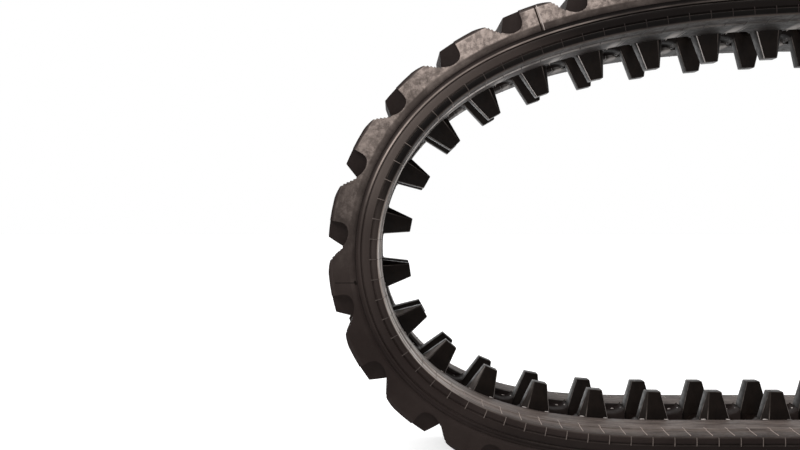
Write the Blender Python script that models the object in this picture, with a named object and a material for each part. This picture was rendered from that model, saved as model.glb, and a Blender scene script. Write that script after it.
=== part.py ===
"""Endless rubber track for a small excavator, standing on edge as a closed loop.

The belt is worked out flat first: u runs along the belt, v across it and w towards the
inside of the loop, with w = 0 on the line of the steel cords. One link of each rubber layer
is modelled flat, repeated once for every steel core and bent round the loop.
"""

import math

import bmesh
import bpy
import numpy as np
from mathutils import Matrix, Vector

# Belt, in metres
LINKS = 52
PITCH = 0.048
WIDTH = 0.230
FIT_GAP = 0.0003            # play between pieces that are vulcanised together
FIRST_CORE = 0.021          # along the belt from the middle of the lower run to a core

# Ends of the loop: cord-line radius at equal steps from the lower run to the upper run
BEND_LENGTH = 0.928
BEND_RADII = (0.312, 0.1264, 0.1437, 0.1746, 0.4916, 0.942, 5.4)
PATH_STEPS = 4000

# Levels of the layers, measured from the cord line towards the inside of the loop
ROLLER_LEVEL = 0.017
SHOULDER_DROP = 0.0034
FLANGE_LEVEL = 0.0125
CARCASS_BASE = -0.0015
CORD_THICKNESS = 0.003
GROUND_LEVEL = -0.0216
GROOVE_DEPTH = 0.011        # of the gaps between tread blocks

# Widths of rubber across the belt
SHOULDER_WIDTH = 0.007      # from the roller path out to the side wall
SIDE_RUBBER = 0.013         # outside the cord belts
HORN_RUBBER = 0.00775       # between the horns and the cord belts
WINDOW_LIP = 0.00175        # from a sprocket window's side to the horns beside it

# Steel core
HORN_SPACING = 0.065
HORN_WIDTH = 0.0195
HORN_TIP_WIDTH = 0.014
HORN_ROOT_LENGTH = 0.0234
HORN_TIP_LENGTH = 0.0095
HORN_ROOT_LEVEL = 0.0135
HORN_HEIGHT = 0.0212        # above the roller path
FACET_LEVEL = 0.0148        # on which the facet on the horn's outer leading edge starts
FACET_ROOT = 0.0065         # from the middle of the horn to the facet, on its outer face,
FACET_TIP = 0.0043          # at the facet's own level and at the tip
FACET_REACH = 0.0175        # of the facet in from the outer face
WING_SETBACK = 0.0017       # of the wing's sides from those of the horn's root
WING_REACH = 0.038          # out from the cords' inner edge
WING_THICKNESS = 0.007
BAR_LENGTH = 0.016          # of the bar that the sprocket teeth push on
BAR_HEIGHT = 0.0115
BAR_SIDES = 6
BAR_RAISE = 0.0005          # above the undersides of the horns

# Tread block of the near row, its lengths measured along the belt from its core
LAND_TRAILING = 0.0185      # to the land's trailing edge
LAND_LEADING = 0.0075       # to the land's leading edge, where the run-off starts
RUN_OFF_LENGTH = 0.009
RUN_OFF_DROP = 0.002
STEPS = 1                   # ledges down the leading flank
LEDGE = 0.0021
BLOCK_SETBACK = 0.004       # of the block's inner end from the windows
BLOCK_INNER_DRAFT = 0.003
EDGE_BEVEL_WIDTH = 0.0028
EDGE_BEVEL_HEIGHT = 0.0032
SCOOP_START = 0.012         # scoop in the outer trailing corner, from the core at the land
SCOOP_LEAN = 0.006          # of its leading wall, over its depth
SCOOP_END = 0.0222          # of its floor, from the core
SCOOP_DEPTH = 0.013
SCOOP_RIDGE = 0.0004        # left standing between the scoop and the groove
SCOOP_WIDTH = 0.010         # across the belt, at the trailing end of the land's level
SCOOP_TAPER = 0.375         # of its inner wall, for each metre along the belt
SCOOP_DRAFT = 0.19          # of its inner wall, for each metre of depth
TONGUE_LENGTH = 0.018       # bridge of rubber under each core bar
TONGUE_THICKNESS = 0.005
WELD = 1e-6

# Worked out from the sizes above
LOOP_LENGTH = LINKS * PITCH
HALF_PITCH = PITCH / 2
STIFF_HALF = HORN_ROOT_LENGTH / 2 + FIT_GAP
HALF_WIDTH = WIDTH / 2
CORD_BASE = CARCASS_BASE
CORD_TOP = CORD_BASE + CORD_THICKNESS
CHANNEL_TOP = CORD_TOP + FIT_GAP
WING_BASE = CHANNEL_TOP + FIT_GAP
WING_TOP = WING_BASE + WING_THICKNESS
TREAD_TOP = CARCASS_BASE - FIT_GAP
GROOVE_FLOOR = GROUND_LEVEL + GROOVE_DEPTH
HORN_CENTRE = HORN_SPACING / 2
HORN_OUTER = HORN_CENTRE + HORN_WIDTH / 2
CARCASS_INNER = HORN_OUTER + FIT_GAP
WINDOW_HALF = HORN_CENTRE - HORN_WIDTH / 2 - WINDOW_LIP
BLOCK_INNER_EDGE = WINDOW_HALF + BLOCK_SETBACK
ROLLER_EDGE = HALF_WIDTH - SHOULDER_WIDTH
CORD_INNER = HORN_OUTER + HORN_RUBBER
CORD_OUTER = HALF_WIDTH - SIDE_RUBBER
WING_END = CORD_INNER + WING_REACH
WING_LENGTH = HORN_ROOT_LENGTH - 2 * WING_SETBACK
HORN_TIP_LEVEL = ROLLER_LEVEL + HORN_HEIGHT
HORN_SEAT = TREAD_TOP + FIT_GAP
BLOCK_ROOT = (TREAD_TOP + GROOVE_FLOOR) / 2
BAR_BASE = HORN_SEAT + BAR_RAISE


def clear_scene():
    for old in list(bpy.data.objects):
        bpy.data.objects.remove(old, do_unlink=True)


def collection(name):
    made = bpy.data.collections.new(name)
    bpy.context.scene.collection.children.link(made)
    return made


def material(name, colour, roughness, metallic=0.0):
    made = bpy.data.materials.new(name)
    made.use_nodes = True
    shader = made.node_tree.nodes["Principled BSDF"]
    shader.inputs["Base Color"].default_value = (*colour, 1.0)
    shader.inputs["Roughness"].default_value = roughness
    shader.inputs["Metallic"].default_value = metallic
    return made


# The loop's path


def half_loop():
    """Distance, x and height along the loop from the middle of the lower run to the middle of
    the upper run. The heading turns from 0, towards -X, to half a turn, towards +X."""
    along = np.linspace(0.0, BEND_LENGTH, PATH_STEPS)
    curvature = np.concatenate([[0.0], 1.0 / np.array(BEND_RADII), [0.0]])
    knots = np.linspace(0.0, BEND_LENGTH, len(curvature))
    bend = np.interp(along, knots, curvature)
    step = along[1] - along[0]
    heading = np.concatenate([[0.0], np.cumsum((bend[1:] + bend[:-1]) / 2 * step)])
    heading *= math.pi / heading[-1]
    run_x, run_z = -np.cos(heading), np.sin(heading)
    x = np.concatenate([[0.0], np.cumsum((run_x[1:] + run_x[:-1]) / 2 * step)])
    z = np.concatenate([[0.0], np.cumsum((run_z[1:] + run_z[:-1]) / 2 * step)])
    straight = LOOP_LENGTH / 2 - BEND_LENGTH
    lower = (straight + x[-1]) / 2
    upper = straight - lower
    along = np.concatenate([[0.0], along + lower, [lower + BEND_LENGTH + upper]])
    x = np.concatenate([[0.0], x - lower, [x[-1] - lower + upper]])
    z = np.concatenate([[0.0], z, [z[-1]]])
    return along, x, z - GROUND_LEVEL


HALF_LOOP = half_loop()


def path_at(distance):
    """Point of the cord line at a distance from the middle of the lower run."""
    along, x, z = HALF_LOOP
    turn = distance % LOOP_LENGTH
    mirrored = turn > LOOP_LENGTH / 2
    place = LOOP_LENGTH - turn if mirrored else turn
    side = -1.0 if mirrored else 1.0
    return Vector((side * float(np.interp(place, along, x)), 0.0,
                   float(np.interp(place, along, z))))


def core_frame(link):
    """Frame of one core: the belt stays straight over it, on the chord of its stiff stretch."""
    middle = FIRST_CORE + link * PITCH
    start = path_at(middle - STIFF_HALF)
    end = path_at(middle + STIFF_HALF)
    forward = (end - start).normalized()
    up = Vector((forward.z, 0.0, -forward.x))
    turned = Matrix((forward, (0.0, -1.0, 0.0), up)).transposed()
    return Matrix.LocRotScale((start + end) / 2, turned.to_quaternion(), None)


CORE_FRAMES = [core_frame(link) for link in range(LINKS)]


def bent(distance, v, w):
    """Place on the loop of a flat point, its distance measured along the belt from core 1.

    Over a core the belt is rigid. The window beyond it is ruled: each of its lines runs
    straight from one rigid stretch to the next, so all the bending is at the windows."""
    link = round(distance / PITCH)
    u = distance - link * PITCH
    frame = CORE_FRAMES[link % LINKS]
    if abs(u) <= STIFF_HALF + WELD:
        return frame @ Vector((u, v, w))
    ahead = 1 if u > 0 else -1
    other = CORE_FRAMES[(link + ahead) % LINKS]
    here = frame @ Vector((ahead * STIFF_HALF, v, w))
    there = other @ Vector((-ahead * STIFF_HALF, v, w))
    return here.lerp(there, (abs(u) - STIFF_HALF) / (PITCH - 2 * STIFF_HALF))


# Flat solids


def mesh_object(name, bm, into):
    mesh = bpy.data.meshes.new(name)
    bmesh.ops.recalc_face_normals(bm, faces=bm.faces)
    bm.to_mesh(mesh)
    bm.free()
    made = bpy.data.objects.new(name, mesh)
    into.objects.link(made)
    return made


def extruded(name, outline, along, into):
    """Closed solid from a flat outline, a list of points, swept by the vector along."""
    bm = bmesh.new()
    face = bm.faces.new([bm.verts.new(point) for point in outline])
    swept = bmesh.ops.extrude_face_region(bm, geom=[face])["geom"]
    moved = [item for item in swept if isinstance(item, bmesh.types.BMVert)]
    bmesh.ops.translate(bm, verts=moved, vec=along)
    return mesh_object(name, bm, into)


def across_section(name, section, into):
    """Solid with a (v, w) section that runs one pitch along the belt."""
    outline = [(-HALF_PITCH, v, w) for v, w in section]
    return extruded(name, outline, Vector((PITCH, 0, 0)), into)


def side_section(name, section, low, high, into):
    """Solid with a (u, w) section that runs across the belt from low to high."""
    outline = [(u, low, w) for u, w in section]
    return extruded(name, outline, Vector((0, high - low, 0)), into)


def plan_section(name, plan, low, high, into):
    """Solid with a (u, v) plan between two levels."""
    outline = [(u, v, low) for u, v in plan]
    return extruded(name, outline, Vector((0, 0, high - low)), into)


def combine(target, other, operation):
    """Boolean of other on target, applied to target's mesh. The other object is removed."""
    cut = target.modifiers.new(operation.lower(), "BOOLEAN")
    cut.operation = operation
    cut.solver = "EXACT"
    cut.object = other
    depsgraph = bpy.context.evaluated_depsgraph_get()
    result = bpy.data.meshes.new_from_object(target.evaluated_get(depsgraph))
    target.modifiers.clear()
    target.data = result
    bpy.data.objects.remove(other, do_unlink=True)


def trimmed(obj, point, outward):
    """Cut away all of obj that lies beyond a plane and close the cut."""
    bm = bmesh.new()
    bm.from_mesh(obj.data)
    parts = bm.verts[:] + bm.edges[:] + bm.faces[:]
    cut = bmesh.ops.bisect_plane(bm, geom=parts, plane_co=point, plane_no=outward,
                                 clear_outer=True)["geom_cut"]
    edges = [item for item in cut if isinstance(item, bmesh.types.BMEdge)]
    bmesh.ops.holes_fill(bm, edges=edges)
    bmesh.ops.recalc_face_normals(bm, faces=bm.faces)
    bm.to_mesh(obj.data)
    bm.free()


def cut_across(bm, faces, u):
    """Cut faces across the belt, so that they can bend there."""
    edges = {edge for face in faces for edge in face.edges}
    verts = {vert for face in faces for vert in face.verts}
    bmesh.ops.bisect_plane(bm, geom=[*faces, *edges, *verts], plane_co=(u, 0, 0),
                           plane_no=(1, 0, 0))


def ring(name, link_object, finish, into, far=False):
    """One closed ring from a flat link: its open ends are joined link to link round the loop.
    Only faces that turn with the belt are cut where it starts to bend."""
    bm = bmesh.new()
    bm.from_mesh(link_object.data)
    caps = [face for face in bm.faces
            if abs(abs(face.calc_center_median().x) - HALF_PITCH) < WELD]
    bmesh.ops.delete(bm, geom=caps, context="FACES")
    for u in (-STIFF_HALF, STIFF_HALF):
        turning = [face for face in bm.faces if abs(face.normal.y) < 1 - WELD
                   and abs(face.normal.x) < WELD]
        cut_across(bm, turning, u)
    if far:
        bmesh.ops.rotate(bm, verts=bm.verts, matrix=Matrix.Rotation(math.pi, 3, "Z"))
    bmesh.ops.triangulate(bm, faces=bm.faces)
    bm.verts.index_update()
    flat = [tuple(vert.co) for vert in bm.verts]
    faces = [[vert.index for vert in face.verts] for face in bm.faces]
    bm.free()
    loop = bmesh.new()
    for link in range(LINKS):
        verts = [loop.verts.new(bent(link * PITCH + u, v, w)) for u, v, w in flat]
        for face in faces:
            loop.faces.new([verts[index] for index in face])
    bmesh.ops.remove_doubles(loop, verts=loop.verts, dist=WELD)
    made = mesh_object(name, loop, into)
    made.data.materials.append(finish)
    return made


# Rubber layers, one link each, on the near side


def carcass_link(into):
    """Roller path, shoulder and side wall, with the channel for the cords and the pocket for
    the core's wing, and the flanges that stand between neighbouring horns."""
    section = [
        (CARCASS_INNER, CARCASS_BASE),
        (CORD_INNER - FIT_GAP, CARCASS_BASE),
        (CORD_INNER - FIT_GAP, CHANNEL_TOP),
        (CORD_OUTER + FIT_GAP, CHANNEL_TOP),
        (CORD_OUTER + FIT_GAP, CARCASS_BASE),
        (HALF_WIDTH, CARCASS_BASE),
        (HALF_WIDTH, ROLLER_LEVEL - SHOULDER_DROP),
        (ROLLER_EDGE, ROLLER_LEVEL),
        (CARCASS_INNER, ROLLER_LEVEL),
    ]
    link = across_section("carcass_link", section, into)
    join = (CARCASS_INNER + CORD_INNER) / 2
    for start, end in ((-HALF_PITCH, -STIFF_HALF), (STIFF_HALF, HALF_PITCH)):
        plan = [(start, WINDOW_HALF), (end, WINDOW_HALF), (end, join), (start, join)]
        combine(link, plan_section("flange", plan, CARCASS_BASE, FLANGE_LEVEL, into), "UNION")
    pocket = plan_section("pocket", wing_plan(1, FIT_GAP), CARCASS_BASE - FIT_GAP,
                          WING_TOP + FIT_GAP, into)
    combine(link, pocket, "DIFFERENCE")
    return link


def cord_link(into):
    section = [
        (CORD_INNER, CORD_BASE),
        (CORD_OUTER, CORD_BASE),
        (CORD_OUTER, CORD_TOP),
        (CORD_INNER, CORD_TOP),
    ]
    return across_section("cord_link", section, into)


def block_section():
    """Outline of a tread block seen from the side: a plain trailing flank, a flat land, a
    slight run-off and a leading flank that comes down in ledges."""
    points = [(-HALF_PITCH, GROOVE_FLOOR), (-LAND_TRAILING, GROUND_LEVEL),
              (LAND_LEADING, GROUND_LEVEL)]
    u = LAND_LEADING + RUN_OFF_LENGTH
    w = GROUND_LEVEL + RUN_OFF_DROP
    points.append((u, w))
    fall = (GROOVE_FLOOR - w) / (STEPS + 1)
    slant = (HALF_PITCH - u - STEPS * LEDGE) / (STEPS + 1)
    for _ in range(STEPS):
        u, w = u + slant, w + fall
        points.append((u, w))
        u += LEDGE
        points.append((u, w))
    points.append((HALF_PITCH, GROOVE_FLOOR))
    return points + [(HALF_PITCH, BLOCK_ROOT), (-HALF_PITCH, BLOCK_ROOT)]


def tread_half(into):
    """Base sheet and one block with its bevelled outer edge and scooped corner."""
    section = [
        (WINDOW_HALF, TREAD_TOP),
        (HALF_WIDTH, TREAD_TOP),
        (HALF_WIDTH, GROOVE_FLOOR),
        (WINDOW_HALF, GROOVE_FLOOR),
    ]
    half = across_section("tread_half", section, into)
    block = side_section("block", block_section(), BLOCK_INNER_EDGE, HALF_WIDTH, into)
    bevel_out = Vector((0, EDGE_BEVEL_HEIGHT, -EDGE_BEVEL_WIDTH)).normalized()
    trimmed(block, (0, HALF_WIDTH, GROUND_LEVEL + EDGE_BEVEL_HEIGHT), bevel_out)
    draft = Vector((0, -GROOVE_DEPTH, -BLOCK_INNER_DRAFT)).normalized()
    trimmed(block, (0, BLOCK_INNER_EDGE, GROOVE_FLOOR), draft)
    combine(half, block, "UNION")
    combine(half, corner_scoop(into), "DIFFERENCE")
    return half


def tread_link(into):
    """Both halves of the tread, the far one turned half round, joined by the bridge of rubber
    under the core's bar."""
    link = tread_half(into)
    far = bpy.data.objects.new("far_half", link.data.copy())
    far.data.transform(Matrix.Rotation(math.pi, 4, "Z"))
    into.objects.link(far)
    half = TONGUE_LENGTH / 2
    across = BLOCK_INNER_EDGE
    plan = [(-half, -across), (half, -across), (half, across), (-half, across)]
    base = TREAD_TOP - TONGUE_THICKNESS
    combine(link, plan_section("tongue", plan, base, TREAD_TOP, into), "UNION")
    combine(link, far, "UNION")
    return link


def corner_scoop(into):
    """Cutter for the scoop in the outer trailing corner of a block. It is deeper than the
    groove, with a low ridge between them, and narrows from its trailing end."""
    floor = GROUND_LEVEL + SCOOP_DEPTH
    below = GROUND_LEVEL - SCOOP_DEPTH
    slope = SCOOP_LEAN / SCOOP_DEPTH
    flank = (HALF_PITCH - LAND_TRAILING) / GROOVE_DEPTH
    ridge = Vector((-HALF_PITCH + SCOOP_RIDGE * flank, 0, GROOVE_FLOOR - SCOOP_RIDGE))
    end = Vector((-SCOOP_END, 0, floor))
    out = end + 2 * (ridge - end)
    section = [
        (-SCOOP_START + SCOOP_DEPTH * slope, below),
        (-SCOOP_START - SCOOP_LEAN, floor),
        (end.x, end.z),
        (out.x, out.z),
        (out.x, below),
    ]
    scoop = side_section("scoop", section, HALF_WIDTH - SCOOP_WIDTH, HALF_WIDTH * 1.1, into)
    for vert in scoop.data.vertices:
        if vert.co.y < HALF_WIDTH:
            vert.co.y += (vert.co.x + LAND_TRAILING) * SCOOP_TAPER
            vert.co.y += (vert.co.z - GROUND_LEVEL) * SCOOP_DRAFT
    return scoop


# Steel core


def wing_plan(side, play):
    """Outline from above of one of the core's wings, from inside its horn outwards, grown by
    some play."""
    half = WING_LENGTH / 2 + play
    start, end = side * HORN_CENTRE, side * (WING_END + play)
    return [(-half, start), (half, start), (half, end), (-half, end)]


def horn(side, into):
    """Guide horn: straight root in the rubber, then four faces that lean in to a flat tip, with
    a facet above the root that cuts back the leading edge of the outer face."""
    height = HORN_TIP_LEVEL - HORN_SEAT
    bm = bmesh.new()
    bmesh.ops.create_cube(bm, size=1.0)
    bmesh.ops.transform(bm, matrix=Matrix.Diagonal((HORN_ROOT_LENGTH, HORN_WIDTH, height, 1.0)),
                        verts=bm.verts)
    bmesh.ops.translate(bm, verts=bm.verts, vec=(0, 0, HORN_SEAT + height / 2))
    parts = bm.verts[:] + bm.edges[:] + bm.faces[:]
    bmesh.ops.bisect_plane(bm, geom=parts, plane_co=(0, 0, HORN_ROOT_LEVEL), plane_no=(0, 0, 1))
    for vert in bm.verts:
        if vert.co.z > HORN_ROOT_LEVEL + WELD:
            vert.co.x *= HORN_TIP_LENGTH / HORN_ROOT_LENGTH
            vert.co.y *= HORN_TIP_WIDTH / HORN_WIDTH
    made = mesh_object("horn", bm, into)
    tip = Vector((FACET_TIP, HORN_TIP_WIDTH / 2, HORN_TIP_LEVEL))
    root = Vector((FACET_ROOT, HORN_WIDTH / 2, FACET_LEVEL))
    inner = Vector((HORN_ROOT_LENGTH / 2, HORN_WIDTH / 2 - FACET_REACH, FACET_LEVEL))
    past = (inner - root) / 2
    corner = Vector((HORN_ROOT_LENGTH, HORN_WIDTH, FACET_LEVEL))
    facet = extruded("facet", [root - past, inner + past, corner], (tip - root) * 1.1, into)
    combine(made, facet, "DIFFERENCE")
    turn = Matrix.Rotation(0.0 if side > 0 else math.pi, 4, "Z")
    made.data.transform(turn @ Matrix.Translation((0, HORN_CENTRE, 0)))
    return made


def core_mesh(into):
    """Forged core in one piece: sprocket bar, two horns at its ends and a wing beyond each."""
    bm = bmesh.new()
    bmesh.ops.create_cone(bm, cap_ends=True, segments=BAR_SIDES, radius1=0.5, radius2=0.5,
                          depth=HORN_SPACING)
    turn = Matrix.Rotation(math.pi / BAR_SIDES, 4, "Z")
    lay = Matrix.Rotation(math.pi / 2, 4, "X")
    size = Matrix.Diagonal((BAR_LENGTH, 1.0, BAR_HEIGHT / math.cos(math.pi / BAR_SIDES), 1.0))
    bmesh.ops.transform(bm, matrix=size @ lay @ turn, verts=bm.verts)
    bmesh.ops.translate(bm, verts=bm.verts, vec=(0, 0, BAR_BASE + BAR_HEIGHT / 2))
    core = mesh_object("core", bm, into)
    for side in (-1, 1):
        combine(core, horn(side, into), "UNION")
        wing = plan_section("wing", wing_plan(side, 0.0), WING_BASE, WING_TOP, into)
        combine(core, wing, "UNION")
    mesh = core.data
    mesh.name = "core"
    bpy.data.objects.remove(core, do_unlink=True)
    return mesh


def build():
    clear_scene()
    parts = collection("rubber_track")
    cutters = collection("cutters")
    tread_rubber = material("tread_rubber", (0.030, 0.028, 0.026), 0.75)
    inner_rubber = material("inner_rubber", (0.038, 0.035, 0.032), 0.65)
    steel = material("core_steel", (0.012, 0.011, 0.011), 0.40, 0.6)
    cord_steel = material("cord_steel", (0.30, 0.27, 0.20), 0.45, 0.8)

    core = core_mesh(cutters)
    core.materials.append(steel)
    for link, frame in enumerate(CORE_FRAMES):
        piece = bpy.data.objects.new(f"core_{link + 1:02d}", core)
        piece.matrix_world = frame
        parts.objects.link(piece)

    ring("tread_rubber", tread_link(cutters), tread_rubber, parts)
    pairs = (
        ("inner_rubber", carcass_link(cutters), inner_rubber),
        ("cord_belt", cord_link(cutters), cord_steel),
    )
    for name, link, finish in pairs:
        ring(f"{name}_near", link, finish, parts)
        ring(f"{name}_far", link, finish, parts, far=True)
    for link in list(cutters.objects):
        bpy.data.objects.remove(link, do_unlink=True)


build()
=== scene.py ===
import math

import bmesh
import bpy
import numpy as np
from mathutils import Matrix, Vector

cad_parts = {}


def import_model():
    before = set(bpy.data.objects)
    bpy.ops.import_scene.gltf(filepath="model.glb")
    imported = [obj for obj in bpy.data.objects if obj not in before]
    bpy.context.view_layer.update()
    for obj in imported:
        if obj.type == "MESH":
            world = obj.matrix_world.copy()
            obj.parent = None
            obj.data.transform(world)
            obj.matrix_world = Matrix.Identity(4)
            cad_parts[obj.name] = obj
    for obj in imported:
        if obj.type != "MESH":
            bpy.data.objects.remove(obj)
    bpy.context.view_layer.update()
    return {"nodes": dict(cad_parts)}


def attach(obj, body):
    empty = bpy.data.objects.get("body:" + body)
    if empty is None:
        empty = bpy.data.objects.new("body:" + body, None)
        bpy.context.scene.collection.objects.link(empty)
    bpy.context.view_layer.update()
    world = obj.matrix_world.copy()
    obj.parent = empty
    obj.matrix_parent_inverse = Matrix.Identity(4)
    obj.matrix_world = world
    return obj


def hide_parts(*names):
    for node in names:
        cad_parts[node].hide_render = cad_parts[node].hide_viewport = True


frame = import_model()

# The belt, as the solids have it. u runs along the belt, v across it and w towards the inside
# of the loop, with w = 0 on the line of the steel cords. Metres.
LINKS = 52
PITCH = 0.048
HALF_PITCH = PITCH / 2
LOOP_LENGTH = LINKS * PITCH
HALF_WIDTH = 0.115
FIT_GAP = 0.0003
FIRST_CORE = 0.021          # along the belt from the middle of the lower run
STIFF_HALF = 0.012          # half of the stretch that each core keeps straight
BEND_LENGTH = 0.928         # of the loop's end, from one straight run to the other
BEND_RADII = (0.312, 0.1264, 0.1437, 0.1746, 0.4916, 0.942, 5.4)    # evenly spread over it
PATH_STEPS = 4000
HEADING_REACH = 0.004       # on both sides of a place, to find the path's direction there

ROLLER_LEVEL = 0.017
CARCASS_BASE = -0.0015
CHANNEL_TOP = 0.0018
TREAD_TOP = -0.0018
GROOVE_FLOOR = -0.0106
GROUND_LEVEL = -0.0216
WINDOW_HALF = 0.021
HORN_CENTRE = 0.0325
CARCASS_INNER = 0.04255
CORD_INNER = 0.050
CORD_OUTER = 0.102
BLOCK_INNER_EDGE = 0.025


# The loop's path


def half_loop():
    along = np.linspace(0.0, BEND_LENGTH, PATH_STEPS)
    curvature = np.concatenate([[0.0], 1.0 / np.array(BEND_RADII), [0.0]])
    knots = np.linspace(0.0, BEND_LENGTH, len(curvature))
    bend = np.interp(along, knots, curvature)
    step = along[1] - along[0]
    heading = np.concatenate([[0.0], np.cumsum((bend[1:] + bend[:-1]) / 2 * step)])
    heading *= math.pi / heading[-1]
    run_x, run_z = -np.cos(heading), np.sin(heading)
    x = np.concatenate([[0.0], np.cumsum((run_x[1:] + run_x[:-1]) / 2 * step)])
    z = np.concatenate([[0.0], np.cumsum((run_z[1:] + run_z[:-1]) / 2 * step)])
    straight = LOOP_LENGTH / 2 - BEND_LENGTH
    lower = (straight + x[-1]) / 2
    upper = straight - lower
    along = np.concatenate([[0.0], along + lower, [lower + BEND_LENGTH + upper]])
    x = np.concatenate([[0.0], x - lower, [x[-1] - lower + upper]])
    z = np.concatenate([[0.0], z, [z[-1]]])
    return along, x, z - GROUND_LEVEL


def path_at(distance, path=half_loop()):
    along, x, z = path
    turn = np.mod(distance, LOOP_LENGTH)
    mirrored = turn > LOOP_LENGTH / 2
    place = np.where(mirrored, LOOP_LENGTH - turn, turn)
    side = np.where(mirrored, -1.0, 1.0)
    return np.stack([side * np.interp(place, along, x), np.interp(place, along, z)], axis=-1)


MIDDLES = FIRST_CORE + PITCH * np.arange(LINKS)
STARTS, ENDS = path_at(MIDDLES - STIFF_HALF), path_at(MIDDLES + STIFF_HALF)
ORIGINS = (STARTS + ENDS) / 2
FORWARDS = (ENDS - STARTS) / np.linalg.norm(ENDS - STARTS, axis=1)[:, None]
UPS = np.stack([FORWARDS[:, 1], -FORWARDS[:, 0]], axis=1)


def heading_at(distance):
    ahead = path_at(distance + HEADING_REACH) - path_at(distance - HEADING_REACH)
    return ahead / np.linalg.norm(ahead, axis=-1, keepdims=True)


def bent(distance, v, w):
    """Places on the loop of flat points. The rubber follows the path smoothly, as far inside it
    as the middle of the solids' straight stretches."""
    along = FIRST_CORE + distance
    forward = heading_at(along)
    up = np.stack([forward[..., 1], -forward[..., 0]], axis=-1)
    before, after = heading_at(along - STIFF_HALF), heading_at(along + STIFF_HALF)
    curvature = np.linalg.norm(after - before, axis=-1) / (2 * STIFF_HALF)
    inset = curvature * STIFF_HALF**2 / 2
    flat = path_at(along) + (w + inset)[..., None] * up
    return np.stack([flat[..., 0], -v, flat[..., 1]], axis=-1)


# Meshes

WORN_AND_HIGHLIT_EDGE = 1.0             # marks of the faces that get painted highlights and some wear: rounded edges, other horn edges, and a painted reflection on the horn's facet
HORN_EDGE = 0.75
HORN_FACET = 0.5


def shaded_mesh(name, points, faces, merge=0.0, sharp=0.6, levels=None, steps=None, worn=None):
    """A mesh of these points and faces, smooth but for edges sharper than an angle. levels
    holds each point's w, steps each point's u, and worn the mark of each face for painted
    highlights and wear."""
    mesh = bpy.data.meshes.new(name)
    mesh.from_pydata([tuple(p) for p in points], [], [tuple(f) for f in faces])
    bm = bmesh.new()
    bm.from_mesh(mesh)
    for label, values in (("level", levels), ("step", steps)):
        if values is not None:
            layer = bm.verts.layers.float.new(label)
            for vert, value in zip(bm.verts, values):
                vert[layer] = value
    if worn is not None:
        layer = bm.faces.layers.float.new("worn")
        for face, value in zip(bm.faces, worn):
            face[layer] = value
    if merge:
        bmesh.ops.remove_doubles(bm, verts=bm.verts, dist=merge)
    bmesh.ops.recalc_face_normals(bm, faces=bm.faces)
    bm.to_mesh(mesh)
    bm.free()
    mesh.shade_smooth()
    mesh.set_sharp_from_angle(angle=sharp)
    return mesh


def placed(name, data):
    """A new object in the scene with this mesh, lamp or camera."""
    made = bpy.data.objects.new(name, data)
    bpy.context.scene.collection.objects.link(made)
    return made


def mesh_object(name, points, faces, **shading):
    return placed(name, shaded_mesh(name, points, faces, **shading))


def swept_points(section, stations, far=False):
    """Points of a closed (v, w) section carried round the loop through the stations of every
    link, with faces and each point's u."""
    section = np.array(section)
    stations = np.array(stations)
    count = len(section)
    u = np.tile(stations, LINKS)
    base = np.repeat(np.arange(LINKS) * PITCH, len(stations))
    rows = len(u)
    v = np.tile(section[:, 0], (rows, 1))
    w = np.tile(section[:, 1], (rows, 1))
    sign = -1 if far else 1
    if far:
        order = np.argsort(base - u)
        base, u = base[order], u[order]
    distance = np.repeat((base + sign * u)[:, None], count, axis=1)
    points = bent(distance, sign * v, w).reshape(-1, 3)
    row, column = np.meshgrid(np.arange(rows), np.arange(count), indexing="ij")
    up, right = (row + 1) % rows, (column + 1) % count
    faces = np.stack([row * count + column, row * count + right, up * count + right,
                      up * count + column], axis=-1).reshape(-1, 4)
    return points, faces, np.repeat(u, count)


def repeated(points, faces, far=False):
    """A flat link's points and faces repeated for every core and bent round the loop."""
    points = np.array(points)
    sign = -1 if far else 1
    base = np.arange(LINKS) * PITCH
    distance = (base[:, None] + sign * points[:, 0][None, :])
    v = np.tile(sign * points[:, 1], (LINKS, 1))
    w = np.tile(points[:, 2], (LINKS, 1))
    placed = bent(distance, v, w).reshape(-1, 3)
    shift = len(points)
    every = [[index + link * shift for index in face] for link in range(LINKS) for face in faces]
    return placed, every


def bmesh_data(bm):
    bm.verts.index_update()
    points = [tuple(vert.co) for vert in bm.verts]
    faces = [[vert.index for vert in face.verts] for face in bm.faces]
    bm.free()
    return points, faces


def rounded(bm, edges, radius):
    """Rounds these edges and marks the new faces for a painted highlight with some wear."""
    made = bmesh.ops.bevel(bm, geom=edges, offset=radius, offset_type="OFFSET", segments=2,
                           profile=0.5, affect="EDGES", clamp_overlap=True)
    layer = bm.faces.layers.float.get("worn") or bm.faces.layers.float.new("worn")
    for face in made["faces"]:
        if face.is_valid:
            face[layer] = WORN_AND_HIGHLIT_EDGE


def worn_marks(bm):
    layer = bm.faces.layers.float["worn"]
    return [face[layer] for face in bm.faces]


def extruded(outline, along):
    """A solid with this flat outline, as long as the vector along."""
    bm = bmesh.new()
    face = bm.faces.new([bm.verts.new(point) for point in outline])
    swept = bmesh.ops.extrude_face_region(bm, geom=[face])["geom"]
    moved = [item for item in swept if isinstance(item, bmesh.types.BMVert)]
    bmesh.ops.translate(bm, verts=moved, vec=along)
    bmesh.ops.recalc_face_normals(bm, faces=bm.faces)
    return bm


def temporary(name, bm):
    mesh = bpy.data.meshes.new(name)
    bm.to_mesh(mesh)
    bm.free()
    return placed(name, mesh)


def combine(target, other, operation):
    cut = target.modifiers.new(operation, "BOOLEAN")
    cut.operation = operation
    cut.solver = "EXACT"
    cut.object = other
    apply_modifiers(target)
    bpy.data.objects.remove(other, do_unlink=True)


def apply_modifiers(obj):
    depsgraph = bpy.context.evaluated_depsgraph_get()
    made = bpy.data.meshes.new_from_object(obj.evaluated_get(depsgraph))
    obj.modifiers.clear()
    obj.data = made


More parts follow.
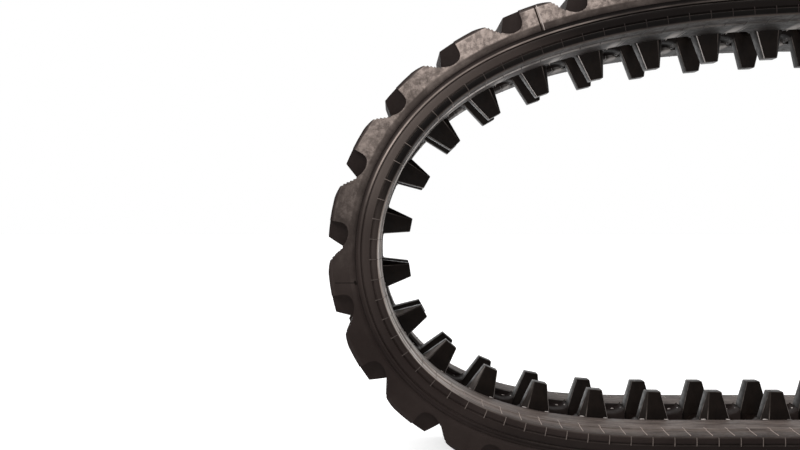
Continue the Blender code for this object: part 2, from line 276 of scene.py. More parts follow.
def trimmed(obj, point, outward):
    """Cuts off what lies beyond a plane and closes the cut."""
    bm = bmesh.new()
    bm.from_mesh(obj.data)
    parts = bm.verts[:] + bm.edges[:] + bm.faces[:]
    cut = bmesh.ops.bisect_plane(bm, geom=parts, plane_co=point, plane_no=outward,
                                 clear_outer=True)["geom_cut"]
    bmesh.ops.holes_fill(bm, edges=[e for e in cut if isinstance(e, bmesh.types.BMEdge)])
    bmesh.ops.recalc_face_normals(bm, faces=bm.faces)
    bm.to_mesh(obj.data)
    bm.free()


# Inner rubber

# Round the section, (v, w): roller path, shoulder, side wall with its two grooves and ridge,
# and the channel that holds the cords.
INNER_SECTION = [
    (CARCASS_INNER, CARCASS_BASE), (CARCASS_INNER, 0.0160), (0.0429, 0.0167),
    (0.0436, ROLLER_LEVEL), (0.0600, ROLLER_LEVEL), (0.0800, ROLLER_LEVEL),
    (0.0888, ROLLER_LEVEL), (0.0893, 0.0169), (0.0896, 0.0166), (0.0901, 0.0163),
    (0.1000, 0.0159), (0.1100, 0.0155), (0.1126, 0.0152), (0.1137, 0.0147),
    (0.1144, 0.0139), (0.1147, 0.0127), (0.1147, 0.0108), (0.1145, 0.0105), (0.1138, 0.0102),
    (0.1135, 0.0097), (0.1139, 0.0092), (0.1145, 0.0087), (0.1147, 0.0076), (0.1147, 0.0049),
    (0.1145, 0.0039), (0.1140, 0.0034), (0.1134, 0.0031), (0.1133, 0.0027), (0.1139, 0.0023),
    (0.1142, 0.0019), (0.1142, 0.0012), (0.1139, 0.0007), (0.1133, 0.0002), (0.1131, -0.0004),
    (0.1131, -0.0010), (0.1131, CARCASS_BASE), (CORD_OUTER + FIT_GAP, CARCASS_BASE),
    (CORD_OUTER + FIT_GAP, CHANNEL_TOP), (CORD_INNER - FIT_GAP, CHANNEL_TOP),
    (CORD_INNER - FIT_GAP, CARCASS_BASE),
]
STATIONS = 16               # of that section on each link

# Lines left by the mould's vents: their places along a link, and their paths (v, w).
RIBS = (-0.0165, -0.0005, 0.0155)
LOW_STAGGER = 0.0033        # along the belt, of the shoulder's row on the lower run
LOW_LINKS = 10              # of the lower run, on each side of its middle
RIB_HALF = 0.00034
RIB_HEIGHT = 0.00030
RIB_PROFILE = ((-1.0, -0.4), (-0.6, 0.75), (0.0, 1.0), (0.6, 0.75), (1.0, -0.4))
RIB_END_LIFT = -0.6
SHOULDER_RIB = ((0.0790, ROLLER_LEVEL), (0.0820, ROLLER_LEVEL), (0.0888, ROLLER_LEVEL),
                (0.0901, 0.0164), (0.1000, 0.0159), (0.1090, 0.01555), (0.1102, 0.0155))
WALL_RIB = ((0.1130, 0.0151), (0.1139, 0.0145), (0.1146, 0.0132), (0.1147, 0.0116),
            (0.1147, 0.0102), (0.1147, 0.0090), (0.1147, 0.0084))

# (u, w) of the webs' top, from the horn beside it down to the middle between two links.
SADDLE = ((STIFF_HALF, 0.0162), (0.0131, 0.0152), (0.0146, 0.0139), (0.0165, 0.0130),
          (0.0190, 0.0124), (0.0215, 0.0120), (HALF_PITCH, 0.0119))

# u, v and w of each lump of pressed-out rubber, and its half sizes along them in millimetres.
LUMPS = ((0.0098, 0.0430, 0.0170, 2.3, 0.9, 0.6), (-0.0092, 0.0430, 0.0170, 1.9, 0.8, 0.5),
         (0.0129, 0.0395, 0.0153, 1.2, 2.4, 1.0), (-0.0131, 0.0345, 0.0146, 0.9, 2.4, 0.8),
         (0.0135, 0.0280, 0.0139, 1.0, 1.3, 0.6), (-0.0190, 0.0405, 0.0130, 1.5, 1.1, 0.7))
MILLIMETRE = 0.001


def strip(path, centre):
    """A thin raised line along a path over the rubber's surface, sunk in at both its ends."""
    path = np.array(path)
    edge = np.gradient(path, axis=0)
    edge /= np.linalg.norm(edge, axis=1)[:, None]
    normal = np.stack([-edge[:, 1], edge[:, 0]], axis=1)
    points = []
    for index, (place, out) in enumerate(zip(path, normal)):
        ended = index in (0, len(path) - 1)
        for offset, lift in RIB_PROFILE:
            spot = place + out * RIB_HEIGHT * (RIB_END_LIFT if ended else lift)
            points.append((centre + offset * RIB_HALF, spot[0], spot[1]))
    faces = []
    across = len(RIB_PROFILE)
    for row in range(len(path) - 1):
        for column in range(across - 1):
            a = row * across + column
            faces.append([a, a + 1, a + 1 + across, a + across])
    return points, faces


def vent_ribs(name, far):
    """The lines left by the mould's vents: a row over the shoulder and one down the side wall.
    The rows are out of step on the lower run."""
    points, faces = [], []
    sign = -1 if far else 1
    for link in range(LINKS):
        low = link < LOW_LINKS or link >= LINKS - LOW_LINKS
        for rib in RIBS:
            for path, shift in ((SHOULDER_RIB, LOW_STAGGER if low else 0.0), (WALL_RIB, 0.0)):
                more, quads = strip(path, rib + shift)
                faces += [[index + len(points) for index in face] for face in quads]
                points += [(link * PITCH + sign * u, sign * v, w) for u, v, w in more]
    flat = np.array(points)
    return mesh_object(name, bent(flat[:, 0], flat[:, 1], flat[:, 2]), faces)


def flash(name, far):
    """Lumps of rubber pressed out round the feet of the horns."""
    ball = bmesh.new()
    bmesh.ops.create_icosphere(ball, subdivisions=2, radius=MILLIMETRE)
    shape, quads = bmesh_data(ball)
    points, faces = [], []
    for u, v, w, long, wide, high in LUMPS:
        faces += [[index + len(points) for index in face] for face in quads]
        points += [(u + x * long, v + y * wide, w + z * high) for x, y, z in shape]
    return mesh_object(name, *repeated(points, faces, far), sharp=3.0)


def web_link():
    """Rubber webs between the cores at the window's edge, that rise to the horns beside them."""
    points, faces = [], []
    for sign in (-1, 1):
        rows = []
        for u, level in SADDLE:
            rows.append([(sign * u, v, w) for v, w in (
                (WINDOW_HALF, CARCASS_BASE), (WINDOW_HALF, level - 0.0022),
                (WINDOW_HALF + 0.0006, level - 0.0009), (WINDOW_HALF + 0.0022, level - 0.0001),
                (0.0325, level), (0.0395, level + 0.0002), (0.0412, level + 0.0009),
                (CARCASS_INNER + 0.001, max(level + 0.0022, 0.0150)),
                (CARCASS_INNER + 0.001, CARCASS_BASE))])
        count = len(rows[0])
        for row in range(len(rows) - 1):
            for column in range(count - 1):
                a = len(points) + row * count + column
                quad = [a, a + 1, a + 1 + count, a + count]
                faces.append(quad if sign > 0 else quad[::-1])
        points += [point for row in rows for point in row]
    return points, faces


def inner_rubber(name, far):
    stations = np.linspace(-HALF_PITCH, HALF_PITCH, STATIONS + 1)[:-1]
    points, faces, steps = swept_points(INNER_SECTION, stations, far)
    web, quads = web_link()
    web_points, web_faces = repeated(web, quads, far)
    faces = [list(face) for face in faces]
    faces += [[index + len(points) for index in face] for face in web_faces]
    levels = [w for _, w in INNER_SECTION] * (len(points) // len(INNER_SECTION))
    levels += [w for _, _, w in web] * LINKS
    steps = list(steps) + [u for u, _, _ in web] * LINKS
    return mesh_object(name, np.vstack([points, web_points]), faces, merge=1e-6, levels=levels,
                       steps=steps)


# Tread

# (u, w) down a block's leading flank, with its small ledges.
FLANK = ((0.0075, GROUND_LEVEL), (0.0100, -0.0213), (0.0125, -0.0208), (0.0146, -0.02025),
         (0.0162, -0.0196), (0.0170, -0.0180), (0.0180, -0.0181), (0.0187, -0.0161),
         (0.0197, -0.0162), (0.0204, -0.0141), (0.0214, -0.0142), (0.0221, -0.0122),
         (0.0230, -0.0123), (HALF_PITCH, GROOVE_FLOOR))
LAND_TRAILING = 0.0172      # from the core to the trailing edge of the block's flat land
FLANK_FOOT = (-0.0228, GROOVE_FLOOR - 0.0002)
BLOCK_TOP = -0.0062         # inside the sheet
BEVEL_WIDTH = 0.0028        # along the outer edge of the land, across the belt
BEVEL_HEIGHT = 0.0032
INNER_FACE_RUN = 0.003      # the lean of the block's face towards the middle of the belt
INNER_FACE_RISE = 0.011

# (u, w) of the hollow in a block's outer trailing corner, its corners rounded.
SCOOP_SECTION = (
    (-0.0060, -0.0346), (-0.0066, -0.0216), (-0.0069, -0.0134), (-0.0077, -0.0106),
    (-0.0094, -0.0086), (-0.0120, -0.0075), (-0.0150, -0.0072), (-0.0180, -0.0078),
    (-0.0209, -0.0092), (-0.0236, -0.0112), (-0.0258, -0.0130), (-0.0258, -0.0346))
SCOOP_WIDTH = 0.010         # across the belt, at the trailing edge of the land
SCOOP_CUT = 0.022           # the cutter's own width
SCOOP_TAPER = 0.20          # of the inner wall, for each metre along the belt
SCOOP_DRAFT = 0.19          # of the inner wall, for each metre of depth

# (v, w) of the base sheet.
SHEET_SECTION = ((WINDOW_HALF, TREAD_TOP), (0.1135, TREAD_TOP), (0.1138, -0.0026),
                 (0.1146, -0.0033), (HALF_WIDTH, -0.0042), (HALF_WIDTH, GROOVE_FLOOR),
                 (WINDOW_HALF, GROOVE_FLOOR))
BRIDGE_HALF = 0.009         # the rubber under a core's bar: along the belt,
BRIDGE_REACH = 0.024        # across it from the middle,
BRIDGE_FLOOR = -0.0068      # and its level and height
BRIDGE_HEIGHT = 0.005
EDGE_ANGLE = math.radians(38)       # from which an edge is rounded by wear
EDGE_RADIUS = 0.0006
LEDGES_FROM = 0.0155        # u beyond which the edges stay sharp
BEND_CUTS = (-0.0215, -0.019, -0.0165, -STIFF_HALF, 0.0, STIFF_HALF, 0.0165, 0.019, 0.0215)
CLOSE = 1e-6


def block():
    outline = [(-HALF_PITCH, GROOVE_FLOOR), FLANK_FOOT, (-LAND_TRAILING, GROUND_LEVEL), *FLANK,
               (HALF_PITCH, BLOCK_TOP), (-HALF_PITCH, BLOCK_TOP)]
    made = temporary("block", extruded([(u, BLOCK_INNER_EDGE, w) for u, w in outline],
                                       (0, HALF_WIDTH - BLOCK_INNER_EDGE, 0)))
    trimmed(made, (0, HALF_WIDTH, GROUND_LEVEL + BEVEL_HEIGHT), (0, BEVEL_HEIGHT, -BEVEL_WIDTH))
    trimmed(made, (0, BLOCK_INNER_EDGE, GROOVE_FLOOR), (0, -INNER_FACE_RISE, -INNER_FACE_RUN))
    return made


def scoop():
    """Cutter for the hollow in a block's corner. Its inner wall leans two ways."""
    bm = extruded([(u, HALF_WIDTH - SCOOP_WIDTH, w) for u, w in SCOOP_SECTION],
                  (0, SCOOP_CUT, 0))
    for vert in bm.verts:
        if vert.co.y < HALF_WIDTH:
            vert.co.y += (vert.co.x + LAND_TRAILING) * SCOOP_TAPER
            vert.co.y += (vert.co.z - GROUND_LEVEL) * SCOOP_DRAFT
    return temporary("scoop", bm)


def tread_link():
    """One link of the near half, open where it meets the next link and the far half, and cut
    across so that it can bend. Returns its points and faces, and the marks of the faces."""
    link = temporary("tread_link", extruded([(-HALF_PITCH, v, w) for v, w in SHEET_SECTION],
                                            (PITCH, 0, 0)))
    combine(link, block(), "UNION")
    combine(link, scoop(), "DIFFERENCE")
    plan = ((-BRIDGE_HALF, 0.0), (BRIDGE_HALF, 0.0), (BRIDGE_HALF, BRIDGE_REACH),
            (-BRIDGE_HALF, BRIDGE_REACH))
    bridge = temporary("bridge", extruded([(u, v, BRIDGE_FLOOR) for u, v in plan],
                                          (0, 0, BRIDGE_HEIGHT)))
    combine(link, bridge, "UNION")
    bm = bmesh.new()
    bm.from_mesh(link.data)
    ends = [face for face in bm.faces
            if abs(abs(face.calc_center_median().x) - HALF_PITCH) < CLOSE
            or abs(face.calc_center_median().y) < CLOSE]
    bmesh.ops.delete(bm, geom=ends, context="FACES_ONLY")
    edges = [edge for edge in bm.edges if len(edge.link_faces) == 2
             and edge.calc_face_angle(0) > EDGE_ANGLE
             and not all(vert.co.x > LEDGES_FROM for vert in edge.verts)]
    rounded(bm, edges, EDGE_RADIUS)
    for u in BEND_CUTS:
        parts = bm.verts[:] + bm.edges[:] + bm.faces[:]
        bmesh.ops.bisect_plane(bm, geom=parts, plane_co=(u, 0, 0), plane_no=(1, 0, 0))
    bmesh.ops.triangulate(bm, faces=[face for face in bm.faces if len(face.verts) > 4])
    bpy.data.objects.remove(link, do_unlink=True)
    worn = worn_marks(bm)
    return bmesh_data(bm), worn


def tread_rubber():
    link, worn = tread_link()
    near_points, near_faces = repeated(*link)
    far_points, far_faces = repeated(*link, far=True)
    shift = len(near_points)
    faces = near_faces + [[index + shift for index in face] for face in far_faces]
    return mesh_object("tread", np.vstack([near_points, far_points]), faces, merge=2e-6,
                       levels=[point[2] for point in link[0]] * (2 * LINKS),
                       worn=worn * (2 * LINKS))


# Cores

# Levels, and half sizes along and across the belt at each, of a horn and of the root that
# stands in the rubber.
HORN_LEVELS = (0.0120, 0.0382)
HORN_HALVES = ((0.01212, 0.00992), (0.0053, 0.0070))
ROOT_LEVELS = (-0.0015, 0.0150)
ROOT_HALVES = ((0.0117, 0.00975), (0.0115, 0.00965))
HORN_RADIUS = 0.0005        # of the worn edges
ROOT_RADIUS = 0.0008

# Corners of the facet, from the middle of the horn: on the outer face low and at the tip, and
# on the leading face.
FACET_LOW = (0.0065, 0.00975, 0.0148)
FACET_TIP = (0.0046, 0.0070, 0.0382)
FACET_INNER = (0.01135, 0.0012, 0.0148)
OUTER_TRAILING = (-0.0045, 0.0062)  # beyond these u and v lies the horn's brightest edge

BAR_SIDES = 20
BAR_STATIONS = (-0.0240, -0.0225, -0.0205, -0.0180, 0.0180, 0.0205, 0.0225, 0.0240)
BAR_PLAIN = 0.0180          # from the middle to where the bar starts to flare
BAR_FLARE_RUN = 0.006
BAR_FLARE = 0.10
BAR_LEVEL = 0.00475
BAR_HALF_LENGTH = 0.0080    # along the belt
BAR_HALF_HEIGHT = 0.00575
BAR_SQUARENESS = 0.8        # power of the section's cosine and sine

WING_BASE = 0.0021
WING_TOP = 0.0091
WING_STATIONS = ((0.036, 0.0100), (0.0872, 0.0100), (0.088, 0.0092))    # v and half length


def loft(levels):
    """A closed solid through rings of points, with its faces and their marks."""
    points = [point for level in levels for point in level]
    count = len(levels[0])
    faces = []
    for level in range(len(levels) - 1):
        for i in range(count):
            j = (i + 1) % count
            a, b = level * count, (level + 1) * count
            faces.append([a + i, a + j, b + j, b + i])
    faces.append(list(range(count))[::-1])
    faces.append([(len(levels) - 1) * count + i for i in range(count)])
    return points, faces, [0.0] * len(faces)


def tapered(low, high, outline_low, outline_high):
    """A block between two levels with a rectangle (u, v half sizes) at each of them."""
    bm = bmesh.new()
    bmesh.ops.create_cube(bm, size=2.0)
    for vert in bm.verts:
        half_u, half_v = outline_high if vert.co.z > 0 else outline_low
        vert.co = (vert.co.x * half_u, vert.co.y * half_v, high if vert.co.z > 0 else low)
    return bm


def round_above(bm, level, radius):
    """Rounds every edge but those that lie wholly below a level."""
    rounded(bm, [edge for edge in bm.edges
                 if not all(vert.co.z < level for vert in edge.verts)], radius)


def horn_part(side):
    """Guide horn with a facet on the leading edge of its outer face, and round edges. The facet
    is marked for a painted reflection and the edges for painted highlights with some wear.
    """
    bm = tapered(*HORN_LEVELS, *HORN_HALVES)
    low, tip, inner = np.array(FACET_LOW), np.array(FACET_TIP), np.array(FACET_INNER)
    outward = np.cross(tip - low, inner - low)
    outward *= math.copysign(1.0, outward[0])
    parts = bm.verts[:] + bm.edges[:] + bm.faces[:]
    cut = bmesh.ops.bisect_plane(bm, geom=parts, plane_co=low, plane_no=outward,
                                 clear_outer=True)["geom_cut"]
    bmesh.ops.holes_fill(bm, edges=[e for e in cut if isinstance(e, bmesh.types.BMEdge)])
    bmesh.ops.recalc_face_normals(bm, faces=bm.faces)
    layer = bm.faces.layers.float.new("worn")
    outward /= np.linalg.norm(outward)
    for face in bm.faces:
        face[layer] = HORN_FACET if np.dot(face.normal, outward) > 0.99 else 0.0
    round_above(bm, HORN_LEVELS[0] + 0.0001, HORN_RADIUS)
    for face in bm.faces:
        middle = face.calc_center_median()
        outer_trailing = middle.x < OUTER_TRAILING[0] and middle.y > OUTER_TRAILING[1]
        if face[layer] == WORN_AND_HIGHLIT_EDGE and not outer_trailing:
            face[layer] = HORN_EDGE
    worn = worn_marks(bm)
    points, faces = bmesh_data(bm)
    root = tapered(*ROOT_LEVELS, *ROOT_HALVES)
    round_above(root, 0.0, ROOT_RADIUS)
    worn += worn_marks(root)
    more, quads = bmesh_data(root)
    faces += [[index + len(points) for index in face] for face in quads]
    points += more
    return [(side * u, side * (HORN_CENTRE + v), w) for u, v, w in points], faces, worn


def bar_part():
    levels = []
    for v in BAR_STATIONS:
        flare = 1.0 + BAR_FLARE * max(0.0, (abs(v) - BAR_PLAIN) / BAR_FLARE_RUN) ** 2
        ring = []
        for i in range(BAR_SIDES):
            angle = 2 * math.pi * i / BAR_SIDES
            c, s = math.cos(angle), math.sin(angle)
            out = abs(c) ** BAR_SQUARENESS * (1 if c > 0 else -1)
            up = abs(s) ** BAR_SQUARENESS * (1 if s > 0 else -1)
            ring.append((BAR_HALF_LENGTH * flare * out, v,
                         BAR_LEVEL + BAR_HALF_HEIGHT * flare * up))
        levels.append(ring)
    return loft(levels)


def wing_part(side):
    return loft([[(-half, side * v, WING_BASE), (half, side * v, WING_BASE),
                  (half, side * v, WING_TOP), (-half, side * v, WING_TOP)]
                 for v, half in WING_STATIONS])


def core_mesh():
    points, faces, worn = [], [], []
    for more, quads, marks in (horn_part(1), horn_part(-1), bar_part(), wing_part(1),
                               wing_part(-1)):
        faces += [[index + len(points) for index in face] for face in quads]
        points += more
        worn += marks
    return shaded_mesh("horns", points, faces, sharp=0.5, worn=worn)


# Materials


class Nodes:
    """A material's node tree, built one node at a time. height and side are an object's own z
    and its distance from the middle of the belt."""

    def __init__(self, name):
        self.material = bpy.data.materials.new(name)
        self.material.use_nodes = True
        self.tree = self.material.node_tree
        self.shader = self.tree.nodes["Principled BSDF"]
        self.place = self.add("ShaderNodeTexCoord").outputs["Object"]
        split = self.add("ShaderNodeSeparateXYZ")
        self.link(self.place, split.inputs[0])
        self.height = split.outputs["Z"]
        self.side = self.math("ABSOLUTE", split.outputs["Y"])

    def add(self, kind, **settings):
        node = self.tree.nodes.new(kind)
        for key, value in settings.items():
            setattr(node, key, value)
        return node

    def link(self, source, target):
        self.tree.links.new(source, target)

    def attribute(self, name):
        return self.add("ShaderNodeAttribute", attribute_name=name).outputs["Fac"]

    def facing_up(self):
        split = self.add("ShaderNodeSeparateXYZ")
        self.link(self.add("ShaderNodeNewGeometry").outputs["Normal"], split.inputs[0])
        return split.outputs["Z"]

    def world_height(self):
        split = self.add("ShaderNodeSeparateXYZ")
        self.link(self.add("ShaderNodeNewGeometry").outputs["Position"], split.inputs[0])
        return split.outputs["Z"]

    def all_of(self, *factors):
        total = factors[0]
        for factor in factors[1:]:
            total = self.math("MULTIPLY", total, factor)
        return total

    def line(self, start, end, half):
        """1 on a line over the near side between two (x, z) places, 0 away from it."""
        split = self.add("ShaderNodeSeparateXYZ")
        self.link(self.place, split.inputs[0])
        x = self.math("SUBTRACT", split.outputs["X"], start[0])
        z = self.math("SUBTRACT", split.outputs["Z"], start[1])
        run = (end[0] - start[0], end[1] - start[1])
        square = run[0] ** 2 + run[1] ** 2
        along = self.math("ADD", self.math("MULTIPLY", x, run[0] / square),
                          self.math("MULTIPLY", z, run[1] / square))
        along = self.ramp(along, 0.0, 1.0, kind="LINEAR")
        off_x = self.math("SUBTRACT", x, self.math("MULTIPLY", along, run[0]))
        off_z = self.math("SUBTRACT", z, self.math("MULTIPLY", along, run[1]))
        away = self.math("SQRT", self.math("ADD", self.math("MULTIPLY", off_x, off_x),
                                           self.math("MULTIPLY", off_z, off_z)))
        near = self.ramp(split.outputs["Y"], *NEAR_SIDE)
        return self.math("MULTIPLY", near, self.ramp(away, half, half * 0.5))

    def noise(self, scale, detail=4.0, roughness=0.6, squeeze=(1, 1, 1), distortion=0.0):
        mapping = self.add("ShaderNodeMapping")
        mapping.inputs["Scale"].default_value = squeeze
        self.link(self.place, mapping.inputs["Vector"])
        node = self.add("ShaderNodeTexNoise")
        node.inputs["Scale"].default_value = scale
        node.inputs["Detail"].default_value = detail
        node.inputs["Roughness"].default_value = roughness
        node.inputs["Distortion"].default_value = distortion
        self.link(mapping.outputs["Vector"], node.inputs["Vector"])
        return node.outputs["Fac"]

    def ramp(self, source, low, high, to_low=0.0, to_high=1.0, kind="SMOOTHSTEP"):
        """to_low where the source is low, to_high where it is high, and between them between.
        low may be the greater one."""
        node = self.add("ShaderNodeMapRange", clamp=True, interpolation_type=kind)
        node.inputs["From Min"].default_value = low
        node.inputs["From Max"].default_value = high
        node.inputs["To Min"].default_value = to_low
        node.inputs["To Max"].default_value = to_high
        self.link(source, node.inputs["Value"])
        return node.outputs["Result"]

    def math(self, operation, a, b=None):
        node = self.add("ShaderNodeMath", operation=operation)
        for slot, value in zip(node.inputs, (a, b)):
            if value is None:
                continue
            if isinstance(value, (int, float)):
                slot.default_value = value
            else:
                self.link(value, slot)
        return node.outputs["Value"]

    def mix(self, factor, first, second):
        node = self.add("ShaderNodeMix", data_type="RGBA")
        for slot, value in ((node.inputs[0], factor), (node.inputs[6], first),
                            (node.inputs[7], second)):
            if isinstance(value, tuple):
                slot.default_value = (*value, 1.0)
            elif isinstance(value, (int, float)):
                slot.default_value = value
            else:
                self.link(value, slot)
        return node.outputs[2]

    def bump(self, height, distance, strength=1.0, below=None):
        node = self.add("ShaderNodeBump")
        node.inputs["Distance"].default_value = distance
        node.inputs["Strength"].default_value = strength
        self.link(height, node.inputs["Height"])
        if below is not None:
            self.link(below, node.inputs["Normal"])
        return node.outputs["Normal"]


DARK_RUBBER = (0.0125, 0.0083, 0.0073)
LIGHT_RUBBER = (0.0225, 0.0160, 0.0142)
# painted shade, darker than the rubber's own tone
SHADE_RUBBER = (0.0015, 0.0010, 0.0008)
# dust, also used as painted highlight and painted light
DUST_AND_HIGHLIGHT = (0.430, 0.352, 0.312)
# chalk, also used as painted highlight
CHALK_AND_HIGHLIGHT = (0.800, 0.740, 0.700)
# painted glint with some dust, for the pressed-out lumps
FLASH_DUST_AND_GLINT = (0.68, 0.61, 0.57)
DARK_STEEL = (0.0040, 0.0024, 0.0017)
LIGHT_STEEL = (0.0105, 0.0070, 0.0055)
# painted reflection on the lower left horns' facets
FACET_REFLECTION = (0.36, 0.32, 0.30)
# painted highlights, with some wear, on the horns' edges
EDGE_WEAR_AND_HIGHLIGHT = (0.26, 0.22, 0.20)
# the brightest painted highlight, on the outer trailing edge
BRIGHT_EDGE = (0.66, 0.60, 0.57)
CORD_SHADE = (0.09, 0.075, 0.05)
CORD_LIGHT = (0.42, 0.36, 0.25)

NEAR_SIDE = (-0.1120, -0.1135)      # y from which a mark shows, and from which it shows fully

# Seams of the mould on the near side: from (x, z), to (x, z), half width, colour.
MARKS = (
    ((-0.4104, 0.3486), (-0.4040, 0.3298), 0.00075, (0.012, 0.008, 0.006)),
    ((-0.4086, 0.3490), (-0.4022, 0.3302), 0.00040, (0.420, 0.360, 0.330)),
    ((-0.5540, 0.1484), (-0.5395, 0.1484), 0.00045, (0.007, 0.005, 0.004)),
    ((-0.5397, 0.1490), (-0.5390, 0.1478), 0.00120, (0.006, 0.004, 0.003)),
)


def rubber(name, rough, shine):
    """Moulded rubber, with fine grain and a cloudy tone. Returns its nodes, its colour and the
    fine noise. The caller lays the dust and the painted light over the colour and links it."""
    n = Nodes(name)
    tone = n.mix(n.ramp(n.noise(11, 5, 0.62), 0.32, 0.70), DARK_RUBBER, LIGHT_RUBBER)
    fine = n.noise(190, 5, 0.75)
    n.link(n.ramp(fine, 0.3, 0.7, rough - 0.08, rough + 0.12), n.shader.inputs["Roughness"])
    n.shader.inputs["Specular IOR Level"].default_value = shine
    streak = n.noise(60, 4, 0.6, squeeze=(1, 6, 1))
    grain = n.bump(n.noise(900, 3, 0.6), 0.00012, 0.5)
    n.link(n.bump(streak, 0.0004, 0.3, grain), n.shader.inputs["Normal"])
    return n, tone, fine


def tread_look():
    """The blocks' sides have dry mottled dust, laid thick on the upper blocks also to paint the
    brighter light there, and the scoops, bevels and belt's side have none. Thin dust, likewise
    thicker upwards to paint the light, and painted highlights with some wear on the rounded
    edges show on the upper half."""
    n, tone, fine = rubber("tread_rubber_look", 0.60, 0.06)
    level = n.attribute("level")
    # dust and painted light: the dust grows with height to paint the brighter light on the upper
    # blocks
    block_dust_and_light = n.all_of(n.ramp(n.height, 0.14, 0.345), n.ramp(n.side, 0.1139, 0.1148),
                    n.ramp(level, -0.0058, -0.0074),
                    n.ramp(n.noise(30, 7, 0.78, distortion=0.8), 0.38, 0.62, 0.30, 0.95),
                    n.ramp(fine, 0.40, 0.60, 0.42, 1.0))
    # dust and painted light: thin dust, thickening upwards to paint the brighter light higher up
    thin = n.all_of(n.ramp(n.noise(45, 5, 0.7), 0.40, 0.70, 0.35, 1.0),
                    n.ramp(n.side, 0.1128, 0.1142), n.ramp(n.height, 0.12, 0.27, 0.01, 0.30),
                    n.ramp(level, -0.0070, -0.0060, 0.45, 1.0),
                    n.ramp(n.height, 0.345, 0.30, 0.65, 1.0))
    # painted highlight with some wear: rounded edges paler on the upper half, where they catch
    # the light
    worn = n.all_of(n.attribute("worn"), n.ramp(n.height, 0.10, 0.30, 0.06, 0.42))
    cover = n.math("MINIMUM", n.math("ADD", n.math("ADD", block_dust_and_light, thin), worn), 0.95)
    dusted_and_lit = n.mix(cover, tone, DUST_AND_HIGHLIGHT)
    for start, end, half, shade in MARKS:
        dusted_and_lit = n.mix(n.line(start, end, half), dusted_and_lit, shade)
    n.link(dusted_and_lit, n.shader.inputs["Base Color"])
    return n.material


